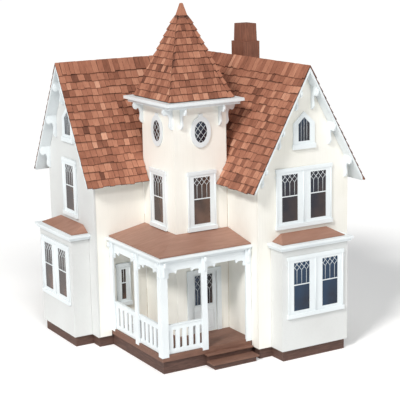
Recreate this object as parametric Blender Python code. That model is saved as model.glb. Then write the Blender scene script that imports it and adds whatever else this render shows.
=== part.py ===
"""A one-to-twenty-four scale wooden dollhouse: an L of gabled wings with a corner tower.

All driving sizes are in millimetres, in house coordinates: X runs right along the front gable, Y runs
back, and the front wing's front left corner, at floor level on the ground, is the zero. The meshes are
built in metres, moved so that the middle of the whole house's footprint is the origin.
"""

import math

import bmesh
import bpy
from mathutils import Vector

MM = 0.001
GAP = 0.3                 # glue line between two neighbouring pieces
PLY = 3.2                 # eighth-inch birch plywood for walls, floors, roofs and posts
STRIP = 2.4               # three thirty-second basswood for railings, fretwork and the door
TRIM = 2.0                # window and door casings
ACETATE = 0.8             # glazing sheet

# Plan of the two wings and the tower
WING_WIDTH = 173.0        # across each gable
PROJECTION = 194.5        # how far the front wing stands out from the inner corner
LEFT = -188.0             # the left wing's gable wall
HALF_WING = WING_WIDTH / 2
BACK = PROJECTION + WING_WIDTH
RIDGE_Y = PROJECTION + HALF_WING
TOWER_WIDTH = 96.0
TOWER_DEPTH = 104.5
TOWER_LEFT = -TOWER_WIDTH
TOWER_FRONT = PROJECTION - TOWER_DEPTH
TOWER_X = -TOWER_WIDTH / 2
TOWER_Y = TOWER_FRONT + TOWER_DEPTH / 2

# Levels
WALL_FOOT = 17.2          # walls lap over the foundation down to here
BASE_TOP = 27.0
FLOOR_1 = BASE_TOP + GAP + PLY
FLOOR_2 = 170.5
ATTIC = 300.3
WALL_TOP = 299.3
APEX = 557.5

# Roofs
PITCH = math.radians(60.7)
SLOPE = math.tan(PITCH)
SHINGLE = 2.4             # room left above the plywood for the shingles
RIDGE_OUT = 466.2         # ridge height over the shingles
EAVE_REACH = 102.5        # from the ridge to the eave, in plan
RAKE = 18.7               # overhang past each gable wall
RIDGE_TOP = RIDGE_OUT - SHINGLE / math.cos(PITCH)
RIDGE_UNDER = RIDGE_TOP - PLY / math.cos(PITCH)

# Tower cornice and roof
TOWER_TOP = 401.1
CORNICE_MIDDLE = 406.2
CORNICE_TOP = 410.9
CORNICE_IN = 16.5         # reach of the lower board past the tower's walls
CORNICE_OUT = 21.5        # reach of the upper board
SPIRE_REACH = 8.0         # reach of the tower roof's foot

# Bays
BAY_WIDTH = 126.0
BAY_DEPTH = 32.0
BAY_OPEN = 168.0          # top of the opening from a room into its bay
BAY_TOP = 181.5
BAY_MIDDLE = 185.7        # where the cornice steps out
BAY_EAVE = 189.6
BAY_RIDGE = 200.9
BAY_HIP = 19.0
BAY_BED = 4.5             # reach of the cornice's lower step
BAY_CROWN = 7.0           # reach of its upper step
BAY_ROOF_INSET = 3.0

# Porch
PORCH_X = -163.6          # outer faces of the posts
PORCH_Y = 20.4
PORCH_BASE_INSET = 4.5    # base behind the posts' faces
POST_FOOT = 27.0
POST_WIDTH = 10.5
MIDDLE_POST_X = -86.0
MIDDLE_POST_Y = 104.0
RAIL_TOP = 76.0
FRIEZE_FOOT = 152.0
FRIEZE_SCALLOP = 11.5     # depth of the cut brackets
PORCH_CEILING = 178.5
PORCH_MIDDLE = 181.7      # where the cornice steps out
PORCH_EAVE = 187.7
PORCH_WALL = 200.5
STEP_RISE = 10.15
STEP_TOP_RUN = 8.0        # from the posts' faces to the upper tread's nose
STEP_RUN = 17.5
STEP_LEFT = -87.0
STEP_RIGHT = -3.0
TREAD = 2.4
NOSING = 2.5

# Windows: one sash unit, used singly and in pairs
LIGHT_W = 30.0
LIGHT_H = 75.5
LOWER_LIGHT_H = 78.5      # ground floor
HOLE_MARGIN = 1.5         # wall holes past the glass line
CASING = 10.6
RAIL = 5.0
SASH_BAR = 1.5
HEAD_H = 5.2
SILL_H = 6.0
LOWER_SHARE = 0.53        # part of the height below the meeting rail
PAIR_PITCH = 54.6
UPPER_SILL = 218.6        # bottom of the upper windows' glass
LOWER_SILL = 81.3
TOWER_SILL = 212.4
EAVE_SILL = 204.0         # upper window under an eave

# Narrow window on the porch
PORCH_WINDOW_X = -139.5
PORCH_LIGHT_W = 8.0
PORCH_LIGHT_H = 51.0
PORCH_SILL = 76.5
PORCH_CASING = 8.5

# Pointed attic windows
ATTIC_SILL = 339.5        # bottom of the casing
ATTIC_HALF = 20.2
ATTIC_LIGHT = 10.8
ATTIC_SHOULDER = 33.5     # heights above the sill
ATTIC_PEAK = 51.5
ATTIC_LIGHT_FOOT = 5.2
ATTIC_LIGHT_SHOULDER = 32.5
ATTIC_LIGHT_PEAK = 43.0

# Oval tower windows
OVAL_Z = 360.3
OVAL_CASING = (18.2, 25.0)
OVAL_LIGHT = (11.4, 17.0)
OVAL_HOLE = (13.0, 18.6)
KEY_HALF = 3.4
KEY_TOP = 28.5

# Door
DOOR_X = -46.7
DOOR_HALF = 23.8
DOOR_CASING = 8.0
DOOR_FOOT = 30.7
DOOR_TOP = 131.4
DOOR_LIGHT_W = 10.4
DOOR_LIGHT_LOW = 76.7
DOOR_LIGHT_TOP = 126.0
SWING = 0.4               # clearance round the leaves

# Chimney
CHIMNEY_X = 97.0
CHIMNEY_Y = 189.0
CHIMNEY_W = 32.0
CHIMNEY_D = 38.0
CHIMNEY_SHOULDER = 486.0
CHIMNEY_TOP = 515.5
STACK_INSET = 3.0
STACK_TAPER = 3.8

# The house's footprint, over bay cornices, eaves and rakes
WEST = LEFT - BAY_DEPTH - BAY_CROWN
EAST = HALF_WING + EAVE_REACH
SOUTH = -BAY_DEPTH - BAY_CROWN
NORTH = BACK + RAKE
ORIGIN = Vector(((WEST + EAST) / 2, (SOUTH + NORTH) / 2, 0))

FRONT, LEFTWARD, RIGHTWARD = 0.0, -math.pi / 2, math.pi / 2

CREAM = (0.90, 0.86, 0.77)
WHITE = (0.86, 0.89, 0.91)
BROWN = (0.16, 0.082, 0.062)
ROOF_BROWN = (0.41, 0.22, 0.155)
BRICK_BROWN = (0.22, 0.085, 0.055)
BIRCH = (0.62, 0.45, 0.28)
CLEAR = (0.05, 0.06, 0.10)


# ---------------------------------------------------------------- helpers

def clear_scene():
    """Start from an empty scene."""
    for old in list(bpy.data.objects):
        bpy.data.objects.remove(old, do_unlink=True)


def finish_material(name, colour, roughness):
    """A plain painted or stained finish."""
    material = bpy.data.materials.get(name)
    if material is None:
        material = bpy.data.materials.new(name)
        material.use_nodes = True
        shader = material.node_tree.nodes["Principled BSDF"]
        shader.inputs["Base Color"].default_value = (*colour, 1.0)
        shader.inputs["Roughness"].default_value = roughness
        shader.inputs["Metallic"].default_value = 0.0
    return material


def wall_paint():
    return finish_material("cream_wall_paint", CREAM, 0.6)


def trim_paint():
    return finish_material("white_trim_paint", WHITE, 0.45)


def porch_stain():
    return finish_material("brown_porch_stain", BROWN, 0.6)


def roof_stain():
    return finish_material("brown_roof_stain", ROOF_BROWN, 0.6)


def chimney_stain():
    return finish_material("red_brown_chimney_stain", BRICK_BROWN, 0.6)


def birch():
    return finish_material("clear_birch", BIRCH, 0.5)


def glazing():
    return finish_material("clear_glazing", CLEAR, 0.1)


def place(name, mesh_builder, material, corner=None, turn=(0.0, 0.0, 0.0)):
    """Make an object from a bmesh. With a corner, in house millimetres, the mesh is local to it."""
    mesh = bpy.data.meshes.new(name)
    for vertex in mesh_builder.verts:
        if corner is None:
            vertex.co = vertex.co - ORIGIN
        vertex.co = vertex.co * MM
    bmesh.ops.recalc_face_normals(mesh_builder, faces=mesh_builder.faces)
    mesh_builder.to_mesh(mesh)
    mesh_builder.free()
    piece = bpy.data.objects.new(name, mesh)
    bpy.context.scene.collection.objects.link(piece)
    if corner is not None:
        piece.location = (Vector(corner) - ORIGIN) * MM
        piece.rotation_euler = turn
    mesh.materials.append(material)
    return piece


def plate(name, outline, thickness, material, corner, turn=(0.0, 0.0, 0.0), holes=()):
    """A flat board: its outline lies in local XY and its thickness runs down local Z."""
    bm = bmesh.new()
    edges = []
    for loop in (outline, *holes):
        verts = [bm.verts.new((x, y, 0.0)) for x, y in loop]
        edges += [bm.edges.new((verts[i - 1], verts[i])) for i in range(len(verts))]
    filled = bmesh.ops.triangle_fill(bm, use_beauty=True, use_dissolve=True, edges=edges)
    faces = [item for item in filled["geom"] if isinstance(item, bmesh.types.BMFace)]
    extruded = bmesh.ops.extrude_face_region(bm, geom=faces, use_keep_orig=True)
    moved = [item for item in extruded["geom"] if isinstance(item, bmesh.types.BMVert)]
    bmesh.ops.translate(bm, verts=moved, vec=(0.0, 0.0, -thickness))
    return place(name, bm, material, corner, turn)


def upright(name, outline, thickness, material, corner, heading, holes=()):
    """A board standing on edge: local Y is up, and local Z faces the heading."""
    return plate(name, outline, thickness, material, corner, (math.pi / 2, 0.0, heading), holes)


def loft(name, rings, material, top_faces=None):
    """A solid between rings of corners in house millimetres, each ring a list of the same length."""
    bm = bmesh.new()
    loops = [[bm.verts.new(point) for point in ring] for ring in rings]
    count = len(loops[0])
    for low, high in zip(loops, loops[1:]):
        for i in range(count):
            bm.faces.new((low[i - 1], low[i], high[i], high[i - 1]))
    bm.faces.new(loops[0])
    for face in top_faces or [range(count)]:
        bm.faces.new([loops[-1][i] for i in face])
    return place(name, bm, material)


def cutter(name, low, high):
    """A box that a Boolean takes away or adds; it isn't a piece of the house."""
    bm = bmesh.new()
    bmesh.ops.create_cube(bm, size=1.0)
    low, high = Vector(low), Vector(high)
    for vertex in bm.verts:
        vertex.co = (low + high) / 2 + Vector(a * b for a, b in zip(vertex.co, high - low))
    box = place(name, bm, trim_paint())
    box.hide_render = True
    box.display_type = "WIRE"
    return box


def combine(piece, tool, operation):
    """Keep an exact Boolean of the piece with a tool."""
    change = piece.modifiers.new(tool.name, "BOOLEAN")
    change.operation = operation
    change.object = tool
    change.solver = "EXACT"


def rectangle(x0, y0, x1, y1):
    return [(x0, y0), (x1, y0), (x1, y1), (x0, y1)]


def arc(cx, cy, rx, ry, start, end, steps):
    """Points along an ellipse between two angles in degrees, both ends included."""
    turns = [math.radians(start + (end - start) * i / steps) for i in range(steps + 1)]
    return [(cx + rx * math.cos(t), cy + ry * math.sin(t)) for t in turns]


def plan_ring(x0, y0, x1, y1, z):
    return [(x, y, z) for x, y in rectangle(x0, y0, x1, y1)]


# ---------------------------------------------------------------- base and floors

def house_outline(inset):
    """The house's plan, with both bays and the tower, moved in from its wall faces."""
    half_bay = BAY_WIDTH / 2 - inset
    return [
        (inset, inset),
        (HALF_WING - half_bay, inset),
        (HALF_WING - half_bay, inset - BAY_DEPTH),
        (HALF_WING + half_bay, inset - BAY_DEPTH),
        (HALF_WING + half_bay, inset),
        (WING_WIDTH - inset, inset),
        (WING_WIDTH - inset, BACK),
        (LEFT + inset, BACK),
        (LEFT + inset, RIDGE_Y + half_bay),
        (LEFT - BAY_DEPTH + inset, RIDGE_Y + half_bay),
        (LEFT - BAY_DEPTH + inset, RIDGE_Y - half_bay),
        (LEFT + inset, RIDGE_Y - half_bay),
        (LEFT + inset, PROJECTION + inset),
    ]


def foundation():
    """One block under the house and the porch; the walls lap over its sides."""
    inset = PLY + GAP
    left, front = PORCH_X + PORCH_BASE_INSET, PORCH_Y + PORCH_BASE_INSET
    corner = [(left, PROJECTION + inset), (left, front), (inset, front)]
    plate("foundation", house_outline(inset) + corner, BASE_TOP, porch_stain(), (0, 0, BASE_TOP))


def tower_inside(inset):
    """The tower's three free corners, inside its walls, in the order that closes a floor's outline."""
    return [(TOWER_LEFT + inset, PROJECTION + inset),
            (TOWER_LEFT + inset, TOWER_FRONT + inset),
            (inset, TOWER_FRONT + inset)]


def floors():
    inset = PLY + GAP
    plate("ground_floor", house_outline(inset) + tower_inside(inset), PLY, birch(), (0, 0, FLOOR_1))
    upper = [(inset, inset), (WING_WIDTH - inset, inset), (WING_WIDTH - inset, BACK), (LEFT + inset, BACK),
             (LEFT + inset, PROJECTION + inset)]
    plate("second_floor", upper + tower_inside(inset), PLY, birch(), (0, 0, FLOOR_2))
    plate("attic_floor", upper + tower_inside(inset), PLY, birch(), (0, 0, ATTIC))


# ---------------------------------------------------------------- walls

def gable_outline(notch):
    """A gable wall standing on WALL_FOOT, open below for its bay, up to the roof's underside."""
    clear = RIDGE_UNDER - GAP / math.cos(PITCH) - WALL_FOOT
    eave = clear - HALF_WING * SLOPE
    half = notch / 2
    top = BAY_OPEN - WALL_FOOT
    return [(0, 0), (HALF_WING - half, 0), (HALF_WING - half, top), (HALF_WING + half, top),
            (HALF_WING + half, 0), (WING_WIDTH, 0), (WING_WIDTH, eave), (HALF_WING, clear), (0, eave)]


def light_hole(centre, sill, base, height=LIGHT_H):
    """The hole in a wall behind one sash, a little larger than its glass."""
    return rectangle(centre - LIGHT_W / 2 - HOLE_MARGIN, sill - base - HOLE_MARGIN,
                     centre + LIGHT_W / 2 + HOLE_MARGIN, sill - base + height + HOLE_MARGIN)


def pointed(half, low, shoulder, peak):
    """A pointed window's outline about local x = 0."""
    return [(-half, low), (half, low), (half, shoulder), (0, peak), (-half, shoulder)]


def moved(outline, dx, dy):
    return [(x + dx, y + dy) for x, y in outline]


def walls():
    cream = wall_paint()
    paint_gap = PLY + GAP
    pair = (HALF_WING - PAIR_PITCH / 2, HALF_WING + PAIR_PITCH / 2)
    attic_hole = moved(pointed(ATTIC_LIGHT + HOLE_MARGIN, ATTIC_LIGHT_FOOT - HOLE_MARGIN,
                               ATTIC_LIGHT_SHOULDER + HOLE_MARGIN / 2, ATTIC_LIGHT_PEAK + HOLE_MARGIN),
                       HALF_WING, ATTIC_SILL - WALL_FOOT)
    notch = BAY_WIDTH - 2 * PLY
    upright("front_wall", gable_outline(notch), PLY, cream, (0, 0, WALL_FOOT), FRONT,
            [light_hole(x, UPPER_SILL, WALL_FOOT) for x in pair] + [attic_hole])
    upright("left_gable_wall", gable_outline(notch), PLY, cream, (LEFT, BACK, WALL_FOOT), LEFTWARD,
            [light_hole(HALF_WING, UPPER_SILL, WALL_FOOT), attic_hole])

    # The two walls inside the L step up over the foundation where the porch begins.
    porch_foot = BASE_TOP + GAP - WALL_FOOT
    height = WALL_TOP - WALL_FOOT
    run = TOWER_FRONT - GAP - paint_gap
    step = PORCH_Y - paint_gap
    side = [(0, porch_foot), (run - step, porch_foot), (run - step, 0), (run, 0), (run, height),
            (0, height)]
    upright("wing_side_wall", side, PLY, cream, (0, TOWER_FRONT - GAP, WALL_FOOT), LEFTWARD)
    run = TOWER_LEFT - GAP - (LEFT + paint_gap)
    step = PORCH_X - (LEFT + paint_gap)
    half = PORCH_LIGHT_W / 2 + HOLE_MARGIN
    hole = rectangle(PORCH_WINDOW_X - half, PORCH_SILL - HOLE_MARGIN,
                     PORCH_WINDOW_X + half, PORCH_SILL + PORCH_LIGHT_H + HOLE_MARGIN)
    side = [(0, 0), (step, 0), (step, porch_foot), (run, porch_foot), (run, height), (0, height)]
    upright("left_front_wall", side, PLY, cream, (LEFT + paint_gap, PROJECTION, WALL_FOOT), FRONT,
            [moved(hole, -(LEFT + paint_gap), -WALL_FOOT)])

    length = BACK - paint_gap
    centre = BACK / 2 - paint_gap
    upright("right_wall", rectangle(0, 0, length, height), PLY, cream, (WING_WIDTH, paint_gap, WALL_FOOT),
            RIGHTWARD, [light_hole(centre, LOWER_SILL, WALL_FOOT, LOWER_LIGHT_H),
                        light_hole(centre, EAVE_SILL, WALL_FOOT)])

    # The tower's front and left walls stand on the base; its rear walls stand on the attic floor.
    foot = BASE_TOP + GAP
    tall = TOWER_TOP - foot
    oval_y = OVAL_Z - foot
    centre = TOWER_WIDTH / 2
    door = rectangle(DOOR_X - DOOR_HALF + TOWER_WIDTH, DOOR_FOOT - foot, DOOR_X + DOOR_HALF + TOWER_WIDTH,
                     DOOR_TOP - foot)
    upright("tower_front_wall", rectangle(0, 0, TOWER_WIDTH - GAP, tall), PLY, cream,
            (TOWER_LEFT, TOWER_FRONT, foot), FRONT,
            [light_hole(centre, TOWER_SILL, foot), arc(centre, oval_y, *OVAL_HOLE, 0, 345, 23), door])
    run = TOWER_DEPTH - PLY - 2 * GAP
    centre = PROJECTION - GAP - TOWER_Y
    upright("tower_left_wall", rectangle(0, 0, run, tall), PLY, cream,
            (TOWER_LEFT, PROJECTION - GAP, foot), LEFTWARD,
            [light_hole(centre, TOWER_SILL, foot), arc(centre, oval_y, *OVAL_HOLE, 0, 345, 23)])
    right, back = -GAP, PROJECTION - GAP
    corner = [(right - PLY, TOWER_FRONT + paint_gap), (right, TOWER_FRONT + paint_gap), (right, back),
              (TOWER_LEFT + paint_gap, back), (TOWER_LEFT + paint_gap, back - PLY),
              (right - PLY, back - PLY)]
    plate("tower_rear_walls", corner, TOWER_TOP - ATTIC - GAP, cream, (0, 0, TOWER_TOP))


# ---------------------------------------------------------------- roofs

def roof_panel(name, plan, facing):
    """A plywood slope with plumb edges; it falls away from its ridge along x or y."""
    def height(x, y):
        reach = abs(x - HALF_WING) if facing == "x" else abs(y - RIDGE_Y)
        return RIDGE_TOP - reach * SLOPE
    top = [(x, y, height(x, y)) for x, y in plan]
    under = [(x, y, z - PLY / math.cos(PITCH)) for x, y, z in top]
    return loft(name, [under, top], trim_paint())


def roofs():
    eave_x, ridge_x = HALF_WING - EAVE_REACH, HALF_WING - GAP / 2
    valley = GAP                      # each slope stops this far short of the valley line
    eave_y, ridge_y = RIDGE_Y - EAVE_REACH, RIDGE_Y - GAP / 2
    roof_panel("front_wing_roof_right",
               rectangle(HALF_WING + GAP / 2, -RAKE, EAST, NORTH), "x")
    roof_panel("front_wing_roof_left",
               [(ridge_x, -RAKE), (eave_x, -RAKE), (eave_x, TOWER_FRONT - GAP), (0, TOWER_FRONT - GAP),
                (0, PROJECTION - valley), (ridge_x, PROJECTION + ridge_x - valley)], "x")
    gable = LEFT - RAKE
    roof_panel("left_wing_roof_front",
               [(gable, ridge_y), (gable, eave_y), (TOWER_LEFT - GAP, eave_y),
                (TOWER_LEFT - GAP, PROJECTION), (-valley, PROJECTION),
                (ridge_y - PROJECTION - valley, ridge_y)], "y")
    back_eave, back_ridge = RIDGE_Y + EAVE_REACH, RIDGE_Y + GAP / 2
    roof_panel("left_wing_roof_rear",
               [(gable, back_ridge), (HALF_WING - valley - GAP, back_ridge),
                (eave_x - valley, back_eave), (gable, back_eave)], "y")
    roof_panel("rear_gable_roof_left",
               [(ridge_x, RIDGE_Y + valley + GAP), (ridge_x, NORTH), (eave_x, NORTH),
                (eave_x, back_eave + valley)], "x")


def tower_roof():
    """A steep pyramid of four boards, open below, on the tower's cornice."""
    half_x = TOWER_WIDTH / 2 + SPIRE_REACH
    half_y = TOWER_DEPTH / 2 + SPIRE_REACH
    base = CORNICE_TOP + GAP
    shell = PLY / math.sin(math.atan2(APEX - base, half_x))
    bm = bmesh.new()
    outer = [bm.verts.new(p) for p in
             plan_ring(TOWER_X - half_x, TOWER_Y - half_y, TOWER_X + half_x, TOWER_Y + half_y, base)]
    inner = [bm.verts.new(p) for p in
             plan_ring(TOWER_X - half_x + shell, TOWER_Y - half_y + shell,
                       TOWER_X + half_x - shell, TOWER_Y + half_y - shell, base)]
    peak = bm.verts.new((TOWER_X, TOWER_Y, APEX))
    hollow = bm.verts.new((TOWER_X, TOWER_Y, APEX - shell * (APEX - base) / half_x))
    for i in range(4):
        bm.faces.new((outer[i - 1], outer[i], peak))
        bm.faces.new((inner[i], inner[i - 1], hollow))
        bm.faces.new((outer[i], outer[i - 1], inner[i - 1], inner[i]))
    place("tower_roof", bm, trim_paint())


def tower_cornice():
    """Two stepped square boards that close the tower and carry its roof."""
    def ring(reach, z):
        return plan_ring(TOWER_LEFT - reach, TOWER_FRONT - reach, reach, PROJECTION + reach, z)
    loft("tower_cornice",
         [ring(CORNICE_IN, TOWER_TOP + GAP), ring(CORNICE_IN, CORNICE_MIDDLE),
          ring(CORNICE_OUT, CORNICE_MIDDLE), ring(CORNICE_OUT, CORNICE_TOP)], trim_paint())


def chimney():
    """A stepped stack behind the front wing's ridge; its foot is cut to the slope."""
    def ring(inset, z):
        return plan_ring(CHIMNEY_X + inset, CHIMNEY_Y + inset, CHIMNEY_X + CHIMNEY_W - inset,
                         CHIMNEY_Y + CHIMNEY_D - inset, z)
    foot = [(x, y, RIDGE_TOP - (x - HALF_WING) * SLOPE + GAP / math.cos(PITCH))
            for x, y, _ in ring(0, 0)]
    loft("chimney",
         [foot, ring(0, CHIMNEY_SHOULDER), ring(STACK_INSET, CHIMNEY_SHOULDER),
          ring(STACK_TAPER, CHIMNEY_TOP)],
         chimney_stain())


# ---------------------------------------------------------------- bays

def bay(side):
    """A box bay: a shell of three boards, a stepped cornice and a low hipped roof."""
    half = BAY_WIDTH / 2
    def spot(u, w, z=None):
        """u runs along the gable wall from its centre, w stands out from it."""
        if side == "front":
            point = (HALF_WING + u, -w)
        else:
            point = (LEFT - w, RIDGE_Y - u)
        return point if z is None else (*point, z)
    shell = [spot(-half, GAP), spot(-half, BAY_DEPTH), spot(half, BAY_DEPTH), spot(half, GAP),
             spot(half - PLY, GAP), spot(half - PLY, BAY_DEPTH - PLY), spot(PLY - half, BAY_DEPTH - PLY),
             spot(PLY - half, GAP)]
    piece = plate(f"{side}_bay", shell, BAY_TOP - WALL_FOOT, wall_paint(), (0, 0, BAY_TOP))
    for number, centre in enumerate((-PAIR_PITCH / 2, PAIR_PITCH / 2)):
        hole = light_hole(centre, LOWER_SILL, 0, LOWER_LIGHT_H)
        a = spot(hole[0][0], BAY_DEPTH + 2, hole[0][1])
        b = spot(hole[2][0], BAY_DEPTH - PLY - 2, hole[2][1])
        low = tuple(min(p, q) for p, q in zip(a, b))
        high = tuple(max(p, q) for p, q in zip(a, b))
        combine(piece, cutter(f"{side}_bay_light_{number}", low, high), "DIFFERENCE")

    def ring(reach, z):
        return [spot(u, w, z) for u, w in ((-half - reach, GAP), (-half - reach, BAY_DEPTH + reach),
                                           (half + reach, BAY_DEPTH + reach), (half + reach, GAP))]
    loft(f"{side}_bay_cornice",
         [ring(BAY_BED, BAY_TOP + GAP), ring(BAY_BED, BAY_MIDDLE), ring(BAY_CROWN, BAY_MIDDLE),
          ring(BAY_CROWN, BAY_EAVE - GAP)], trim_paint())
    edge = BAY_EAVE + 1.0
    bm = bmesh.new()
    points = ring(-BAY_ROOF_INSET, BAY_EAVE) + ring(-BAY_ROOF_INSET, edge)
    points += [spot(BAY_HIP - half, GAP, BAY_RIDGE), spot(half - BAY_HIP, GAP, BAY_RIDGE)]
    hull = bmesh.ops.convex_hull(bm, input=[bm.verts.new(point) for point in points])
    bmesh.ops.delete(bm, geom=[g for g in hull["geom_interior"] if isinstance(g, bmesh.types.BMVert)])
    place(f"{side}_bay_roof", bm, roof_stain())


# ---------------------------------------------------------------- porch

def porch_base():
    """The L-shaped deck board and the flight of steps in front of the door."""
    edge = PLY + GAP
    deck = [(PORCH_X + edge, PROJECTION - GAP), (PORCH_X + edge, PORCH_Y + edge), (-GAP, PORCH_Y + edge),
            (-GAP, TOWER_FRONT - GAP), (TOWER_LEFT - GAP, TOWER_FRONT - GAP),
            (TOWER_LEFT - GAP, PROJECTION - GAP)]
    plate("porch_deck", deck, PLY, porch_stain(), (0, 0, FLOOR_1))
    back = PORCH_Y + PORCH_BASE_INSET - GAP
    nose_2 = PORCH_Y - STEP_TOP_RUN
    nose_1 = nose_2 - STEP_RUN
    side = 4.0                        # treads past the block's sides
    profile = [(back, 0), (nose_1 + NOSING, 0), (nose_1 + NOSING, STEP_RISE - TREAD / 2),
               (nose_2 + NOSING, STEP_RISE - TREAD / 2), (nose_2 + NOSING, 2 * STEP_RISE - TREAD / 2),
               (back, 2 * STEP_RISE - TREAD / 2)]
    rings = [[(x, y, z) for y, z in profile] for x in (STEP_LEFT + side, STEP_RIGHT - side)]
    steps = loft("porch_steps", rings, porch_stain())
    for number, (nose, rear) in enumerate(((nose_1, nose_2 + NOSING + 1.0), (nose_2, back)), start=1):
        top = number * STEP_RISE
        board = cutter(f"tread_{number}", (STEP_LEFT, nose, top - TREAD), (STEP_RIGHT, rear, top))
        combine(steps, board, "UNION")


def post_outline(left, right, height):
    """Half widths swell at the foot and the cap, with a slim shaft between, as sawn from flat stock."""
    foot, neck, cap = 49.0, 62.0, height - 28.0
    slim = 0.7
    return [(left, 0), (right, 0), (right, foot), (right - slim, neck), (right - slim, cap),
            (right, cap + 8), (right, height), (left, height), (left, cap + 8), (left + slim, cap),
            (left + slim, neck), (left, foot)]


def posts():
    white = trim_paint()
    height = PORCH_CEILING - GAP - POST_FOOT
    half = POST_WIDTH / 2
    for name, x in (("front_middle_post", MIDDLE_POST_X), ("front_wall_post", -GAP - half)):
        upright(name, post_outline(-half, half, height), PLY, white, (x, PORCH_Y, POST_FOOT), FRONT)
    for name, y in (("side_middle_post", MIDDLE_POST_Y), ("side_wall_post", PROJECTION - GAP - half)):
        upright(name, post_outline(-half, half, height), PLY, white, (PORCH_X, y, POST_FOOT), LEFTWARD)
    # The corner post is an angle: two boards joined along the corner.
    wide = POST_WIDTH + 1.5
    angle = [(PORCH_X, PORCH_Y + wide), (PORCH_X, PORCH_Y), (PORCH_X + wide, PORCH_Y),
             (PORCH_X + wide, PORCH_Y + PLY), (PORCH_X + PLY, PORCH_Y + PLY),
             (PORCH_X + PLY, PORCH_Y + wide)]
    plate("corner_post", angle, height, white, (0, 0, POST_FOOT + height))


def railing(name, length, corner, heading):
    """A board with sawn slots that leave flat balusters."""
    height = RAIL_TOP - FLOOR_1 - GAP
    slots = 6
    pitch = length / slots
    slot, low, high = pitch * 0.42, 7.5, height - 7.0
    holes = [rectangle(pitch * (i + 0.5) - slot / 2, low, pitch * (i + 0.5) + slot / 2, high)
             for i in range(slots)]
    upright(name, rectangle(0, 0, length, height), STRIP, trim_paint(), corner, heading, holes)


def railings():
    depth = PLY + GAP
    foot = FLOOR_1 + GAP
    left = PORCH_X + depth + STRIP + GAP
    railing("front_railing", MIDDLE_POST_X - left, (left, PORCH_Y + depth, foot), FRONT)
    x = PORCH_X + depth
    back, middle, front = PROJECTION - GAP, MIDDLE_POST_Y, PORCH_Y + depth
    railing("side_railing_rear", back - middle - GAP, (x, back, foot), LEFTWARD)
    railing("side_railing_front", middle - front, (x, middle, foot), LEFTWARD)


def bracket_curve(start, step, top):
    """One fretwork bracket from a post outwards: a deep drop, a scallop and a small point."""
    drop, reach, small = 7.5, 11.0, 4.0
    lift, rise = 7.0, top - 10.0
    curve = [(start + step * drop, 0)]
    middle = start + step * (drop + reach / 2)
    turns = [math.radians(angle) for angle in range(0, 181, 30)]
    curve += [(middle - step * reach / 2 * math.cos(t), lift + rise * math.sin(t)) for t in turns]
    edge = start + step * (drop + reach)
    curve += [(edge + step * small / 2, top - 6.0), (edge + step * small, top)]
    return curve


def frieze(name, centres, length, corner, heading):
    """A board under the porch ceiling whose lower edge carries a bracket on each side of every post."""
    top = PORCH_CEILING - GAP - FRIEZE_FOOT
    edge = [(0, 0)]
    for left, right in zip(centres, centres[1:]):
        edge += bracket_curve(left, 1, FRIEZE_SCALLOP)
        edge += list(reversed(bracket_curve(right, -1, FRIEZE_SCALLOP)))
    edge += [(length, 0), (length, top), (0, top)]
    upright(name, edge, STRIP, trim_paint(), corner, heading)


def friezes():
    depth = PLY + GAP
    start = PORCH_X + depth
    length = -GAP - start
    middle = MIDDLE_POST_X - start
    frieze("porch_frieze_front", (5.0, middle, length - 5.0), length,
           (start, PORCH_Y + depth, FRIEZE_FOOT), FRONT)
    back = PROJECTION - GAP
    length = back - (PORCH_Y + depth + STRIP + GAP)
    frieze("porch_frieze_side", (5.0, back - MIDDLE_POST_Y, length - 3.0), length,
           (start, back, FRIEZE_FOOT), LEFTWARD)


def porch_cover():
    """The stepped white ceiling board and the low brown roof on it."""
    def ring(reach, z):
        left, front, end, wall = PORCH_X - reach, PORCH_Y - reach, PROJECTION - GAP, -GAP
        return [(left, end, z), (left, front, z), (wall, front, z), (wall, TOWER_FRONT - GAP, z),
                (TOWER_LEFT - GAP, TOWER_FRONT - GAP, z), (TOWER_LEFT - GAP, end, z)]
    top = PORCH_EAVE - 2.0
    loft("porch_cornice",
         [ring(1.5, PORCH_CEILING), ring(1.5, PORCH_MIDDLE), ring(4.5, PORCH_MIDDLE), ring(4.5, top)],
         trim_paint())
    eave = ring(0, PORCH_EAVE)
    high = eave[:3] + [(x, y, PORCH_WALL) for x, y, _ in eave[3:]]
    loft("porch_roof", [ring(0, top + GAP), high], roof_stain(), [(0, 1, 4, 5), (1, 2, 3, 4)])


# ---------------------------------------------------------------- windows and door

def sash_window(name, centres, sill, corner, heading, light_w=LIGHT_W, light_h=LIGHT_H, casing=CASING):
    """A flat casing with a hole over and under each meeting rail, a head board and a sill.

    The corner is the point on the wall face at ground level that the centres are measured from.
    """
    half = light_w / 2
    left, right = centres[0] - half - casing, centres[-1] + half + casing
    meeting = sill + light_h * LOWER_SHARE
    holes = []
    for centre in centres:
        holes.append(rectangle(centre - half, sill, centre + half, meeting))
        holes.append(rectangle(centre - half, meeting + SASH_BAR, centre + half, sill + light_h))
    outline = rectangle(left, sill - RAIL, right, sill + light_h + RAIL)
    face = Vector(corner) + facing(heading) * (GAP + TRIM)
    piece = upright(name, outline, TRIM, trim_paint(), face, heading, holes)
    head = sill + light_h + RAIL
    bars = ((sill - RAIL - SILL_H, sill - RAIL + 0.6, 1.6, 4.2), (head - 0.6, head + HEAD_H, 1.2, 3.2))
    for number, (low, high, wider, out) in enumerate(bars):
        near = along(corner, heading, left - wider, GAP + 0.1, low)
        far = along(corner, heading, right + wider, GAP + out, high)
        box = cutter(f"{name}_bar_{number}", tuple(map(min, near, far)), tuple(map(max, near, far)))
        combine(piece, box, "UNION")


def facing(heading):
    """The outward direction of a wall with this heading."""
    return Vector((math.sin(heading), -math.cos(heading), 0.0))


def along(corner, heading, u, out, z):
    """A point u along a wall and out from it."""
    return Vector(corner) + Vector((math.cos(heading), math.sin(heading), 0)) * u + facing(heading) * out \
        + Vector((0, 0, z))


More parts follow.
